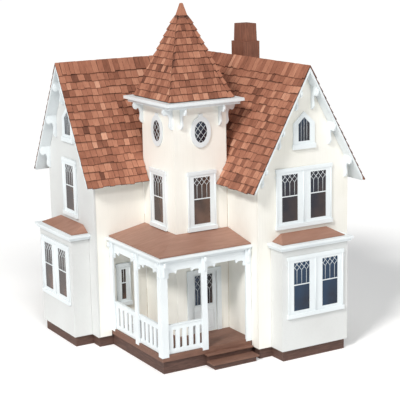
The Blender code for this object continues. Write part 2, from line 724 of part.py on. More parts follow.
def pointed_window(name, corner, heading):
    face = Vector(corner) + facing(heading) * (GAP + TRIM)
    casing = moved(pointed(ATTIC_HALF, 0, ATTIC_SHOULDER, ATTIC_PEAK), 0, ATTIC_SILL)
    light = moved(pointed(ATTIC_LIGHT, ATTIC_LIGHT_FOOT, ATTIC_LIGHT_SHOULDER, ATTIC_LIGHT_PEAK),
                  0, ATTIC_SILL)
    piece = upright(name, casing, TRIM, trim_paint(), face, heading, [light])
    reach, depth = ATTIC_HALF + 1.5, 7.0
    near = along(corner, heading, -reach, GAP + 0.1, ATTIC_SILL - depth)
    far = along(corner, heading, reach, GAP + 4.0, ATTIC_SILL + 0.6)
    box = cutter(f"{name}_sill", tuple(map(min, near, far)), tuple(map(max, near, far)))
    combine(piece, box, "UNION")


def oval_window(name, corner, heading):
    """An oval casing with a keystone on its head."""
    edge = arc(0, OVAL_Z, *OVAL_CASING, 103, 437, 30)
    outline = edge + [(KEY_HALF, OVAL_Z + KEY_TOP), (-KEY_HALF, OVAL_Z + KEY_TOP)]
    face = Vector(corner) + facing(heading) * (GAP + TRIM)
    upright(name, outline, TRIM, trim_paint(), face, heading, [arc(0, OVAL_Z, *OVAL_LIGHT, 0, 345, 23)])


def glass_sheet(name, reach, sill, corner, heading, light_h=LIGHT_H):
    """Clear sheet glued behind a wall, over its window holes."""
    margin = 2.6
    face = Vector(corner) - facing(heading) * (PLY + GAP)
    reach += margin
    upright(name, rectangle(-reach, sill - margin, reach, sill + light_h + margin), ACETATE,
            glazing(), face, heading)


def windows():
    pair = (-PAIR_PITCH / 2, PAIR_PITCH / 2)
    edge = PAIR_PITCH / 2 + LIGHT_W / 2
    front = (HALF_WING, 0, 0)
    left = (LEFT, RIDGE_Y, 0)
    front_bay = (HALF_WING, -BAY_DEPTH, 0)
    left_bay = (LEFT - BAY_DEPTH, RIDGE_Y, 0)
    tower_front = (TOWER_X, TOWER_FRONT, 0)
    tower_left = (TOWER_LEFT, TOWER_Y, 0)
    right = (WING_WIDTH, BACK / 2, 0)
    sash_window("front_double_window", pair, UPPER_SILL, front, FRONT)
    sash_window("front_bay_window", pair, LOWER_SILL, front_bay, FRONT, light_h=LOWER_LIGHT_H)
    sash_window("left_bay_window", pair, LOWER_SILL, left_bay, LEFTWARD, light_h=LOWER_LIGHT_H)
    sash_window("left_upper_window", (0,), UPPER_SILL, left, LEFTWARD)
    sash_window("tower_front_window", (0,), TOWER_SILL, tower_front, FRONT)
    sash_window("tower_side_window", (0,), TOWER_SILL, tower_left, LEFTWARD)
    sash_window("right_lower_window", (0,), LOWER_SILL, right, RIGHTWARD, light_h=LOWER_LIGHT_H)
    sash_window("right_upper_window", (0,), EAVE_SILL, right, RIGHTWARD)
    sash_window("porch_window", (0,), PORCH_SILL, (PORCH_WINDOW_X, PROJECTION, 0), FRONT,
                PORCH_LIGHT_W, PORCH_LIGHT_H, PORCH_CASING)
    pointed_window("front_attic_window", front, FRONT)
    pointed_window("left_attic_window", left, LEFTWARD)
    oval_window("tower_front_oval", tower_front, FRONT)
    oval_window("tower_side_oval", tower_left, LEFTWARD)
    glass_sheet("front_double_glass", edge, UPPER_SILL, front, FRONT)
    glass_sheet("front_bay_glass", edge, LOWER_SILL, front_bay, FRONT, LOWER_LIGHT_H)
    glass_sheet("left_bay_glass", edge, LOWER_SILL, left_bay, LEFTWARD, LOWER_LIGHT_H)
    glass_sheet("tower_front_glass", LIGHT_W / 2, TOWER_SILL, tower_front, FRONT)


def door():
    """A casing on the wall and two glazed leaves hung at the wall's inner face."""
    white = trim_paint()
    inner, outer = DOOR_HALF, DOOR_HALF + DOOR_CASING
    foot, top = FLOOR_1 + GAP, DOOR_TOP + 5.6
    outline = [(-outer, foot), (-inner, foot), (-inner, DOOR_TOP), (inner, DOOR_TOP), (inner, foot),
               (outer, foot), (outer, top), (-outer, top)]
    face = (DOOR_X, TOWER_FRONT - GAP - TRIM, 0)
    upright("door_frame", outline, TRIM, white, face, FRONT)
    width = DOOR_HALF - 1.5 * SWING
    height = DOOR_TOP - DOOR_FOOT - 2 * SWING
    low, high = DOOR_LIGHT_LOW - DOOR_FOOT, DOOR_LIGHT_TOP - DOOR_FOOT
    for name, side in (("left_door_leaf", -1), ("right_door_leaf", 1)):
        hinge = (DOOR_X + side * (DOOR_HALF - SWING), TOWER_FRONT + PLY, DOOR_FOOT + SWING)
        board = [(-side * x, y) for x, y in rectangle(0, 0, width, height)]
        centre = width / 2 + 0.6
        light = [(-side * x, y) for x, y in
                 rectangle(centre - DOOR_LIGHT_W / 2, low, centre + DOOR_LIGHT_W / 2, high)]
        leaf = upright(name, board, STRIP, white, hinge, FRONT, [light])
        for vertex in leaf.data.vertices:
            vertex.co.z += STRIP * MM


def build():
    clear_scene()
    foundation()
    floors()
    walls()
    roofs()
    tower_roof()
    tower_cornice()
    chimney()
    bay("front")
    bay("left")
    porch_base()
    posts()
    railings()
    friezes()
    porch_cover()
    windows()
    door()


build()
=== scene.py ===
"""The looks of a wooden dollhouse: cedar shingles, painted plywood, printed window sheets and fretwork.

Sizes are in millimetres, in house coordinates: X runs right along the front gable, Y runs back, and the
front wing's front left corner on the ground is the zero. at() turns them into the frame's metres.
"""
import math
import random

import bpy
from mathutils import Matrix, Vector


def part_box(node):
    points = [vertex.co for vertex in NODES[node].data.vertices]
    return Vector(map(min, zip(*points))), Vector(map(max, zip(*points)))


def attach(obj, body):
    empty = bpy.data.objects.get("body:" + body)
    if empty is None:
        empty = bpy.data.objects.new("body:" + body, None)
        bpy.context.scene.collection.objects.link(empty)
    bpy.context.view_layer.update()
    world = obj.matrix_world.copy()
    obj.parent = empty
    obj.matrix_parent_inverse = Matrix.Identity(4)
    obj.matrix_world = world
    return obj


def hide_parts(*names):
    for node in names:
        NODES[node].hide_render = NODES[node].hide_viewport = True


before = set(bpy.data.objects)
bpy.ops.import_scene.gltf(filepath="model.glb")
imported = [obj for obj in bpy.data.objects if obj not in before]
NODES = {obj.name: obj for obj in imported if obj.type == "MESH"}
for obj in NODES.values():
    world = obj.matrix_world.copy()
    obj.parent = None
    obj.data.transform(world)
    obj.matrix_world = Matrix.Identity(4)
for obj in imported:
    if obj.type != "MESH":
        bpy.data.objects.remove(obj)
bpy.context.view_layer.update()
bpy.ops.object.select_all(action="DESELECT")

MM = 0.001
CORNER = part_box("front_wall")[0]          # the house zero, seen from the frame

# The house's own sizes, as built
PLY = 3.2
GAP = 0.3
WING = 173.0
HALF_WING = WING / 2
INNER = 194.5                             # the inner corner of the L
LEFT = -188.0
BACK = INNER + WING
RIDGE_Y = INNER + HALF_WING
TOWER_X, TOWER_Y = -48.0, 142.25
TOWER_HALF_X, TOWER_HALF_Y = 48.0, 52.25
RIDGE_TOP = 461.3                         # plywood ridge, under the shingles
PITCH = math.radians(60.7)
RAKE = 18.7
EAVE = 106.0                              # shingles' reach from the ridge, in plan
SPIRE_FOOT, APEX = 411.2, 557.5
SPIRE_X, SPIRE_Y = 56.0, 60.25            # half sizes of the tower roof's foot
TOWER_TOP = 401.1
PORCH_X, PORCH_Y = -163.6, 20.4           # outer faces of the posts
MEETING_SHARE = 0.53                      # the meeting rail's height, as a share of a light's
DOOR_X = -46.7                            # where the two leaves meet
LEAF_CENTRE = 23.4 - 12.2                 # a leaf's middle and its knob, from there
KNOB_REACH = 2.4


def at(x, y, z):
    """House millimetres to the frame's metres."""
    return Vector((CORNER.x + x * MM, CORNER.y + y * MM, z * MM))


# ---------------------------------------------------------------- finishes

def paint(colour):
    """An sRGB hex colour as linear light."""
    values = [int(colour[i:i + 2], 16) / 255 for i in (0, 2, 4)]
    return (*[v / 12.92 if v <= 0.04045 else ((v + 0.055) / 1.055) ** 2.4 for v in values], 1.0)


def add(tree, kind, inputs=None, stops=None, **settings):
    """Add a node with its settings, its values or links, and a ramp's stops."""
    node = tree.nodes.new(kind)
    for key, value in settings.items():
        setattr(node, key, value)
    if stops:
        ramp = node.color_ramp.elements
        while len(ramp) < len(stops):
            ramp.new(0.5)
        for element, (position, colour) in zip(ramp, stops):
            element.position = position
            element.color = paint(colour) if isinstance(colour, str) else (colour, colour, colour, 1.0)
    for key, value in (inputs or {}).items():
        if isinstance(value, bpy.types.NodeSocket):
            tree.links.new(value, node.inputs[key])
        else:
            node.inputs[key].default_value = value
    return node


def blank(name, roughness, ior=1.5):
    material = bpy.data.materials.new(name)
    material.use_nodes = True
    shader = material.node_tree.nodes["Principled BSDF"]
    shader.inputs["Roughness"].default_value = roughness
    shader.inputs["IOR"].default_value = ior
    return material, material.node_tree, shader


def cedar(name, dark, low, middle, high, pale, roughness):
    """Sawn red cedar dipped in a red-brown stain: dull, each piece its own tone, with fine dark fibres
    about 1 mm apart running up it and soft blotches where the stain soaked in. Painted shade darkens a band
    just under the next course's butt, and the shingle is a little darker along its own butt."""
    material, tree, shader = blank(name, roughness)
    tone = add(tree, "ShaderNodeAttribute", attribute_name="tone")
    uv = add(tree, "ShaderNodeUVMap", uv_map="grain")
    along = add(tree, "ShaderNodeMapping", {"Vector": uv.outputs["UV"], "Scale": (900, 70, 1)})
    fibres = add(tree, "ShaderNodeTexNoise",
                 {"Vector": along.outputs["Vector"], "Scale": 1.0, "Detail": 3.0, "Roughness": 0.6})
    spread = add(tree, "ShaderNodeMapping", {"Vector": uv.outputs["UV"], "Scale": (190, 120, 1)})
    soak = add(tree, "ShaderNodeTexNoise",
               {"Vector": spread.outputs["Vector"], "Scale": 1.0, "Detail": 2.0})
    shift = add(tree, "ShaderNodeMath", {0: soak.outputs["Fac"], 1: 0.36, 2: -0.18}, operation="MULTIPLY_ADD")
    where = add(tree, "ShaderNodeMath", {0: tone.outputs["Fac"], 1: shift.outputs["Value"]}, operation="ADD")
    stain = add(tree, "ShaderNodeValToRGB", {"Fac": where.outputs["Value"]},
                stops=[(0.0, dark), (0.25, low), (0.5, middle), (0.78, high), (1.0, pale)])
    line = add(tree, "ShaderNodeValToRGB", {"Fac": fibres.outputs["Fac"]}, stops=[(0.3, 0.66), (0.62, 1.0)])
    mixed = add(tree, "ShaderNodeMix", {0: 0.6, 6: stain.outputs["Color"], 7: line.outputs["Color"]},
                data_type="RGBA", blend_type="MULTIPLY")
    # Painted shade: the rise ramp darkens a band just under the next course's butt; it also darkens the shingle
    # a little along its own butt.
    rise = add(tree, "ShaderNodeAttribute", attribute_name="rise")
    painted_course_shade = add(tree, "ShaderNodeValToRGB", {"Fac": rise.outputs["Fac"]},
                 stops=[(0.0, 0.8), (0.06, 1.0), (0.62, 1.0), (0.74, 0.45)])
    shaded = add(tree, "ShaderNodeMix", {0: 1.0, 6: mixed.outputs[2], 7: painted_course_shade.outputs["Color"]},
                 data_type="RGBA", blend_type="MULTIPLY")
    tree.links.new(shaded.outputs[2], shader.inputs["Base Color"])
    bump = add(tree, "ShaderNodeBump", {"Height": fibres.outputs["Fac"], "Strength": 0.5, "Distance": 0.0003})
    tree.links.new(bump.outputs["Normal"], shader.inputs["Normal"])
    return material


def wood(name, first, second, grain, roughness, stretch, relief):
    """Flat wood seen through a stain or bare: streaks `grain` metres apart, stretched along one axis."""
    material, tree, shader = blank(name, roughness)
    place = add(tree, "ShaderNodeTexCoord")
    along = add(tree, "ShaderNodeMapping", {"Vector": place.outputs["Object"], "Scale": stretch})
    streaks = add(tree, "ShaderNodeTexNoise",
                  {"Vector": along.outputs["Vector"], "Scale": 1 / grain, "Detail": 4.0, "Roughness": 0.6,
                   "Distortion": 0.4})
    colour = add(tree, "ShaderNodeValToRGB", {"Fac": streaks.outputs["Fac"]},
                 stops=[(0.32, first), (0.7, second)])
    tree.links.new(colour.outputs["Color"], shader.inputs["Base Color"])
    bump = add(tree, "ShaderNodeBump", {"Height": streaks.outputs["Fac"], "Strength": relief,
                                        "Distance": 0.0003})
    tree.links.new(bump.outputs["Normal"], shader.inputs["Normal"])
    return material


def brushed_paint(name, first, second, roughness, grain=(260, 260, 900), relief=0.12):
    """Satin water-based paint brushed on: slow drifts in its tint, and the brush's ripple or the wood's
    grain telegraphing through as faint lines, its scale given along each axis."""
    material, tree, shader = blank(name, roughness)
    place = add(tree, "ShaderNodeTexCoord")
    drift = add(tree, "ShaderNodeTexNoise", {"Vector": place.outputs["Object"], "Scale": 14.0, "Detail": 3.0})
    colour = add(tree, "ShaderNodeValToRGB", {"Fac": drift.outputs["Fac"]},
                 stops=[(0.35, first), (0.65, second)])
    brushed = add(tree, "ShaderNodeMapping", {"Vector": place.outputs["Object"], "Scale": grain})
    ripple = add(tree, "ShaderNodeTexNoise", {"Vector": brushed.outputs["Vector"], "Scale": 1.0, "Detail": 2.0})
    line = add(tree, "ShaderNodeValToRGB", {"Fac": ripple.outputs["Fac"]}, stops=[(0.3, 0.93), (0.5, 1.0)])
    tint = add(tree, "ShaderNodeMix", {0: relief * 4, 6: colour.outputs["Color"], 7: line.outputs["Color"]},
               data_type="RGBA", blend_type="MULTIPLY")
    bump = add(tree, "ShaderNodeBump", {"Height": ripple.outputs["Fac"], "Strength": relief,
                                        "Distance": 0.0003})
    tree.links.new(tint.outputs[2], shader.inputs["Base Color"])
    tree.links.new(bump.outputs["Normal"], shader.inputs["Normal"])
    return material


def glazing_sheet():
    """Glossy plastic sheet. It is opaque, and its tint is painted shade standing for the unlit rooms behind:
    navy black where they look deep, browner where bare wood would show. The piece's own attribute says how
    brown."""
    material, tree, shader = blank("glazing_sheet_painted_room_shade", 0.1, 1.49)
    place = add(tree, "ShaderNodeTexCoord")
    cloud = add(tree, "ShaderNodeTexNoise", {"Vector": place.outputs["Object"], "Scale": 45.0, "Detail": 2.0})
    warm = add(tree, "ShaderNodeAttribute", attribute_name="warm")
    shift = add(tree, "ShaderNodeMath", {0: cloud.outputs["Fac"], 1: 0.5, 2: -0.25}, operation="MULTIPLY_ADD")
    where = add(tree, "ShaderNodeMath", {0: warm.outputs["Fac"], 1: shift.outputs["Value"]}, operation="ADD")
    room = add(tree, "ShaderNodeValToRGB", {"Fac": where.outputs["Value"]},
               stops=[(0.0, "12304c"), (0.32, "141726"), (0.65, "3f302b"), (1.0, "7a5c4d")])
    tree.links.new(room.outputs["Color"], shader.inputs["Base Color"])
    return material


def turned_brass():
    """Small brass findings, polished and a little dulled by handling."""
    material, tree, shader = blank("polished_brass", 0.28)
    shader.inputs["Metallic"].default_value = 1.0
    place = add(tree, "ShaderNodeTexCoord")
    wear = add(tree, "ShaderNodeTexNoise", {"Vector": place.outputs["Object"], "Scale": 700.0, "Detail": 2.0})
    tint = add(tree, "ShaderNodeValToRGB", {"Fac": wear.outputs["Fac"]},
               stops=[(0.35, "a8803c"), (0.65, "d2ac62")])
    tree.links.new(tint.outputs["Color"], shader.inputs["Base Color"])
    return material


SHINGLES = cedar("red_brown_stained_cedar", "653a2a", "86523d", "a46a52", "bd8267", "d49d82", 0.82)
# Butts, sides and the plywood under the shingles: end grain takes the stain darker, and this tint is darker
# still as painted shade, to deepen the shadow lines between courses.
END_GRAIN_AND_SHADE = cedar("cedar_end_grain_and_painted_shade", "42241a", "502e22", "60392b", "6f4535", "7e5241", 0.9)
# The three creams are one satin paint. Their tints differ only as painted light and shade, to balance these
# lights
# from wall to wall: painted light in the corner behind the porch, painted shade (greyer) on the bays and the
# left gable.
CREAM = brushed_paint("cream_satin_wall_paint", "ebe9e0", "f0eee7", 0.55, (520, 520, 22), 0.1)
CREAM_PAINTED_LIGHT = brushed_paint("cream_satin_paint_painted_light", "f3f1e9", "f7f6ef", 0.55, (520, 520, 22), 0.1)
CREAM_PAINTED_SHADE = brushed_paint("cream_satin_paint_painted_shade", "d3d4d3", "d9dbda", 0.5, (260, 260, 260), 0.06)
WHITE = brushed_paint("white_satin_trim_paint", "e1e7ea", "e8eef0", 0.42)
# Brown wiping stain on sawn wood: dull, with darker streaks along the boards.
BROWN = wood("brown_stained_boards", "49332c", "64483e", 0.004, 0.7, (0.25, 0.25, 2.2), 0.25)
DECKING = wood("brown_stained_decking", "6b4b3e", "815d4d", 0.004, 0.66, (0.2, 2.0, 1.0), 0.25)
# Tan stain on the smooth plywood of the porch and bay roofs: nearly even, with a soft sheen.
TAN = wood("tan_stained_plywood", "936a58", "a57c6a", 0.012, 0.5, (0.3, 1.6, 1.0), 0.1)
# Red-brown stain on the chimney's upright boards: dull, with close streaks running up it.
STACK = wood("red_brown_stained_stack", "6c4233", "935f49", 0.0035, 0.7, (1.6, 1.6, 0.16), 0.35)
# Unfinished birch plywood inside the rooms: pale, with a soft grain.
BIRCH = wood("bare_birch_plywood", "d8bd96", "e6d0ad", 0.006, 0.6, (0.3, 1.8, 1.4), 0.12)
GLASS = glazing_sheet()
BRASS = turned_brass()


# ---------------------------------------------------------------- making

def only(piece):
    """Select one piece and nothing else."""
    bpy.ops.object.select_all(action="DESELECT")
    piece.select_set(True)
    bpy.context.view_layer.objects.active = piece


def settle(piece, matrix=None):
    """Move a piece where it belongs and put the place in its mesh."""
    if matrix is not None:
        piece.matrix_world = matrix
    only(piece)
    bpy.ops.object.transform_apply(location=True, rotation=True, scale=True)
    return piece


def join(pieces, name):
    bpy.ops.object.select_all(action="DESELECT")
    for piece in pieces:
        piece.select_set(True)
    bpy.context.view_layer.objects.active = pieces[0]
    if len(pieces) > 1:
        bpy.ops.object.join()
    piece = bpy.context.view_layer.objects.active
    piece.name = piece.data.name = name
    return piece


def done(piece, material, body="house", smooth=None):
    """Give a piece its finish and let it ride."""
    if material is not None:
        piece.data.materials.clear()
        piece.data.materials.append(material)
    if smooth:
        only(piece)
        bpy.ops.object.shade_smooth_by_angle(angle=math.radians(smooth))
    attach(piece, body)
    return piece


def batten(name, low, high, round_over=0.35):
    """A planed strip between two corners in house millimetres, its long edges eased."""
    low, high = Vector(low), Vector(high)
    size = high - low
    bpy.ops.mesh.primitive_cube_add(size=1, location=at(*((low + high) / 2)), scale=size * MM)
    piece = bpy.context.object
    piece.name = name
    settle(piece)
    if round_over:
        bpy.ops.object.mode_set(mode="EDIT")
        bpy.ops.mesh.select_all(action="SELECT")
        bpy.ops.mesh.bevel(offset=min(round_over, min(size) * 0.4) * MM, segments=2, affect="EDGES")
        bpy.ops.object.mode_set(mode="OBJECT")
    return piece


def heading(x, y, outward):
    """The matrix of a wall: local x runs right along it as seen from outside, y up, z out of it."""
    out = Vector((*outward, 0.0)).normalized()
    right = Vector((0, 0, 1)).cross(out)
    spot = at(x, y, 0)
    return Matrix(((right.x, 0, out.x, spot.x), (right.y, 0, out.y, spot.y), (0, 1, 0, 0), (0, 0, 0, 1)))


def fret(name, outlines, thickness, wall, out=0.0, ease=0.25):
    """Sawn flat stock: outlines in a wall's plane, in millimetres, from `out` in front of its face."""
    curve = bpy.data.curves.new(name, "CURVE")
    curve.dimensions, curve.fill_mode = "2D", "BOTH"
    curve.extrude = (thickness / 2 - ease) * MM
    curve.bevel_depth, curve.bevel_resolution = ease * MM, 1
    curve.offset = -ease * MM
    curve.resolution_u = 5
    for outline in outlines:
        spline = curve.splines.new("BEZIER")
        spline.bezier_points.add(len(outline) - 1)
        spline.use_cyclic_u = True
        for point, (x, y, *smooth) in zip(spline.bezier_points, outline):
            kind = "AUTO" if smooth else "VECTOR"
            point.co = (x * MM, y * MM, 0)
            point.handle_left_type = point.handle_right_type = kind
    piece = bpy.data.objects.new(name, curve)
    bpy.context.scene.collection.objects.link(piece)
    only(piece)
    bpy.ops.object.convert(target="MESH")
    piece = bpy.context.object
    piece.data.transform(Matrix.Translation((0, 0, (out + thickness / 2) * MM)))
    settle(piece, wall)
    tidy(piece)
    return piece


def tidy(piece):
    """Close a shell's seams and turn its faces outwards."""
    only(piece)
    bpy.ops.object.mode_set(mode="EDIT")
    bpy.ops.mesh.select_all(action="SELECT")
    bpy.ops.mesh.remove_doubles(threshold=0.000002)
    bpy.ops.mesh.normals_make_consistent(inside=False)
    bpy.ops.object.mode_set(mode="OBJECT")


def bars(name, lines, thick, wall, out):
    """Thin printed bars: square strips along straight lines in a wall's plane."""
    curve = bpy.data.curves.new(name, "CURVE")
    curve.dimensions = "3D"
    curve.bevel_depth, curve.bevel_resolution, curve.use_fill_caps = thick / 2 * MM, 0, True
    for line in lines:
        spline = curve.splines.new("POLY")
        spline.points.add(len(line) - 1)
        for point, (x, y) in zip(spline.points, line):
            point.co = (x * MM, y * MM, out * MM, 1)
    piece = bpy.data.objects.new(name, curve)
    bpy.context.scene.collection.objects.link(piece)
    only(piece)
    bpy.ops.object.convert(target="MESH")
    piece = settle(bpy.context.object, wall)
    tidy(piece)
    return piece


def cut(piece, point, normal):
    """Saw a piece along a plane and close the cut; the side that the normal points to falls away."""
    only(piece)
    bpy.ops.object.mode_set(mode="EDIT")
    bpy.ops.mesh.select_all(action="SELECT")
    bpy.ops.mesh.bisect(plane_co=point, plane_no=normal, use_fill=True, clear_outer=True)
    bpy.ops.object.mode_set(mode="OBJECT")
    return piece


# ---------------------------------------------------------------- shingles

SHINGLE_W, SHINGLE_L = 12.0, 18.5


def shingle(name, lift, butt, head):
    """One shingle lying on a roof: x across, y up the slope, z out, its butt at y = 0 lifted on the
    course below and its head thinned to the roof."""
    bpy.ops.mesh.primitive_cube_add(size=1, location=(0, SHINGLE_L / 2 * MM, butt / 2 * MM),
                                    scale=(SHINGLE_W * MM, SHINGLE_L * MM, butt * MM))
    piece = bpy.context.object
    piece.name = name
    settle(piece)
    bpy.ops.object.mode_set(mode="EDIT")
    for low_end, high_side, move in ((True, None, lift), (False, True, head - butt)):
        bpy.ops.mesh.select_all(action="DESELECT")
        bpy.ops.object.mode_set(mode="OBJECT")
        for vertex in piece.data.vertices:
            at_butt = vertex.co.y < SHINGLE_L / 2 * MM
            vertex.select = at_butt == low_end and (high_side is None or vertex.co.z > butt / 2 * MM)
        bpy.ops.object.mode_set(mode="EDIT")
        bpy.ops.transform.translate(value=(0, 0, move * MM))
    bpy.ops.mesh.select_all(action="DESELECT")
    bpy.ops.object.mode_set(mode="OBJECT")
    for edge in piece.data.edges:
        a, b = (piece.data.vertices[i].co for i in edge.vertices)
        edge.select = min(a.z, b.z) > (lift + butt / 2) * MM and max(a.y, b.y) < MM
    bpy.ops.object.mode_set(mode="EDIT")
    bpy.ops.mesh.bevel(offset=0.35 * MM, segments=1, affect="EDGES")
    bpy.ops.object.mode_set(mode="OBJECT")
    mesh = piece.data
    mesh.uv_layers[0].name = "grain"
    for loop in mesh.loops:
        co = mesh.vertices[loop.vertex_index].co
        mesh.uv_layers["grain"].data[loop.index].uv = (co.x + co.z, co.y)
    mesh.attributes.new("tone", "FLOAT", "POINT")
    # rise runs from 0 at the butt to 1 at the head; the cedar finish uses it to paint shade under the next
    # course.
    rise = mesh.attributes.new("rise", "FLOAT", "POINT")
    rise.data.foreach_set("value", [vertex.co.y / (SHINGLE_L * MM) for vertex in mesh.vertices])
    mesh.materials.append(SHINGLES)
    mesh.materials.append(END_GRAIN_AND_SHADE)
    # Butts and sides take the end-grain finish, which is partly painted shade.
    for face in mesh.polygons:
        face.material_index = 0 if abs(face.normal.z) > 0.5 else 1
    return piece


COURSE = shingle("shingle_pattern", 0.9, 1.5, 0.4)
STARTER = shingle("starter_pattern", 0.0, 2.7, 0.4)
RIDGE_BOARD = shingle("ridge_pattern", 1.0, 1.7, 1.7)
# The ridge course gets none of the painted course shade.
RIDGE_BOARD.data.attributes["rise"].data.foreach_set("value", [0.3] * len(RIDGE_BOARD.data.vertices))


def copy_shingle(pattern, matrix, tone, dice):
    """A copy with its own mesh, tone and run of grain."""
    mesh = pattern.data.copy()
    mesh.transform(matrix)
    mesh.attributes["tone"].data.foreach_set("value", [tone] * len(mesh.vertices))
    layer = mesh.uv_layers["grain"]
    flat = [0.0] * (2 * len(mesh.loops))
    layer.data.foreach_get("uv", flat)
    shift = (dice.uniform(0, 3), dice.uniform(0, 3))
    layer.data.foreach_set("uv", [value + shift[i % 2] for i, value in enumerate(flat)])
    piece = bpy.data.objects.new(pattern.name, mesh)
    bpy.context.scene.collection.objects.link(piece)
    return piece


def lay(pattern, foot, across, up, u, v, width, length, dice, tone):
    """Put one shingle on a slope, u across and v up from the foot, both in millimetres."""
    out = across.cross(up)
    spot = foot + (across * u + up * v) * MM
    basis = Matrix(((across.x, up.x, out.x, spot.x), (across.y, up.y, out.y, spot.y),
                    (across.z, up.z, out.z, spot.z), (0, 0, 0, 1)))
    turn = Matrix.Rotation(math.radians(dice.gauss(0, 0.8)), 4, "Z")
    size = Matrix.Diagonal((width / SHINGLE_W, length / SHINGLE_L, dice.uniform(0.88, 1.02), 1))
    return copy_shingle(pattern, basis @ turn @ size, tone, dice)


def tone_of(dice):
    """Shingles take the stain unevenly, and a few stay paler than the rest."""
    value = dice.gauss(0.5, 0.16)
    if dice.random() < 0.06:
        value += 0.22
    return min(max(value, 0.03), 0.98)


def patch(name, foot, across, up, rows, planes, dice, narrow=7.2, wide=12.8, rough=1.35):
    """Shingle a stretch of roof. A row is (v, pattern, length, first u, last u); even and odd rows are
    sawn along the planes apart, so that no two cuts overlap."""
    halves = ([], [])
    for number, (v, pattern, length, first, last) in enumerate(rows):
        u = first
        while u < last - 0.5:
            width = dice.uniform(narrow, wide)
            if last - u - width < narrow * 0.7:
                width = last - u
            drop = dice.uniform(-rough, rough)
            halves[number % 2].append(lay(pattern, foot, across, up, u + width / 2, v + drop, width - 0.4,
                                          length - drop, dice, tone_of(dice)))
            u += width
    made = []
    for half in halves:
        if half:
            piece = join(half, name)
            for point, normal in planes:
                cut(piece, point, normal)
            made.append(piece)
    return made


def rows_up(first, last, full=16, exposure=13.1, start=0):
    """The courses of a main roof slope between two ends; the ridge course is taller."""
    found = []
    for i in range(start, full):
        u0, u1 = (end(i * exposure) if callable(end) else end for end in (first, last))
        if u1 - u0 < 1:
            continue
        pattern = STARTER if i == 0 else RIDGE_BOARD if i == full - 1 else COURSE
        found.append((i * exposure, pattern, 24.0 if i == full - 1 else SHINGLE_L, u0, u1))
    return found


def main_roofs():
    c, s = math.cos(PITCH), math.sin(PITCH)
    foot_z = RIDGE_TOP - EAVE * math.tan(PITCH)
    reach_at = lambda v: EAVE - v * c                     # plan distance from the ridge
    north = BACK + RAKE
    inner = lambda x, y: at(x, y, 300)
    left_end = LEFT - RAKE

    # Front wing, right slope: one rectangle from the front rake to the back rake.
    dice = random.Random(11)
    up, across = Vector((-c, 0, s)), Vector((0, 1, 0))
    foot = at(HALF_WING + EAVE, 0, foot_z)
    ridge = (inner(HALF_WING, 0), (-1, 0, 0))
    pieces = patch("right_slope", foot, across, up, rows_up(-RAKE - 0.6, north + 0.4), [ridge], dice)
    yield join(pieces, "front_wing_shingles_right")

    # Front wing, left slope: in front of the tower down to the eave, then up to the valley.
    dice = random.Random(12)
    up, across = Vector((c, 0, s)), Vector((0, -1, 0))
    foot = at(HALF_WING - EAVE, 0, foot_z)
    ridge = (inner(HALF_WING, 0), (1, 0, 0))
    valley = (inner(0, INNER - GAP), (-1, 1, 0))
    tower_side = (inner(0.5, 0), (-1, 0, 0))
    past_tower = lambda v: HALF_WING - reach_at(v + SHINGLE_L) > 0.5
    clear = lambda v: HALF_WING - reach_at(v) > 0.5
    front_end = RAKE + 0.6
    tower_line = -(TOWER_Y - TOWER_HALF_Y) + 0.5
    valley_line = lambda v: -(INNER + max(HALF_WING - reach_at(v + 24), 0) + 1)
    low = [r for r in rows_up(tower_line, front_end) if not clear(r[0])]
    beside = [r for r in rows_up(valley_line, tower_line) if past_tower(r[0]) and not clear(r[0])]
    high = [r for r in rows_up(valley_line, front_end) if clear(r[0])]
    pieces = patch("left_slope", foot, across, up, low, [], dice)
    pieces += patch("left_slope", foot, across, up, beside, [valley, tower_side], dice)
    pieces += patch("left_slope", foot, across, up, high, [valley, ridge], dice)
    yield join(pieces, "front_wing_shingles_left")

    # Left wing, front slope: the same the other way round.
    dice = random.Random(13)
    up, across = Vector((0, c, s)), Vector((1, 0, 0))
    foot = at(0, RIDGE_Y - EAVE, foot_z)
    ridge = (inner(0, RIDGE_Y), (0, 1, 0))
    valley = (inner(-GAP, INNER), (1, -1, 0))
    tower_back = (inner(0, INNER + 0.5), (0, -1, 0))
    clear = lambda v: RIDGE_Y - reach_at(v) > INNER + 0.5
    past_tower = lambda v: RIDGE_Y - reach_at(v + SHINGLE_L) > INNER + 0.5
    tower_line = TOWER_X - TOWER_HALF_X - 0.5
    valley_line = lambda v: max(RIDGE_Y - reach_at(v + 24) - INNER, 0) + 1
    low = [r for r in rows_up(left_end - 0.6, tower_line) if not clear(r[0])]
    beside = [r for r in rows_up(tower_line, valley_line) if past_tower(r[0]) and not clear(r[0])]
    high = [r for r in rows_up(left_end - 0.6, valley_line) if clear(r[0])]
    pieces = patch("front_slope", foot, across, up, low, [], dice)
    pieces += patch("front_slope", foot, across, up, beside, [valley, tower_back], dice)
    pieces += patch("front_slope", foot, across, up, high, [valley, ridge], dice)
    yield join(pieces, "left_wing_shingles_front")

    # Left wing, rear slope, up to the valley with the back gable.
    dice = random.Random(14)
    up, across = Vector((0, -c, s)), Vector((-1, 0, 0))
    foot = at(0, RIDGE_Y + EAVE, foot_z)
    ridge = (inner(0, RIDGE_Y), (0, -1, 0))
    valley = (inner(BACK - GAP, 0), (1, 1, 0))
    valley_line = lambda v: -(BACK - RIDGE_Y - reach_at(v + 24)) - 1
    pieces = patch("rear_slope", foot, across, up, rows_up(valley_line, -left_end + 0.6), [valley, ridge], dice)
    yield join(pieces, "left_wing_shingles_rear")

    # Back gable's left slope: a triangle above that valley.
    dice = random.Random(15)
    up, across = Vector((c, 0, s)), Vector((0, -1, 0))
    foot = at(HALF_WING - EAVE, 0, foot_z)
    ridge = (inner(HALF_WING, 0), (1, 0, 0))
    valley = (inner(BACK + GAP, 0), (-1, -1, 0))
    valley_line = lambda v: -(BACK - (HALF_WING - reach_at(v + 24))) + 1
    pieces = patch("gable_slope", foot, across, up, rows_up(-north - 0.4, valley_line), [valley, ridge], dice)
    yield join(pieces, "rear_gable_shingles_left")


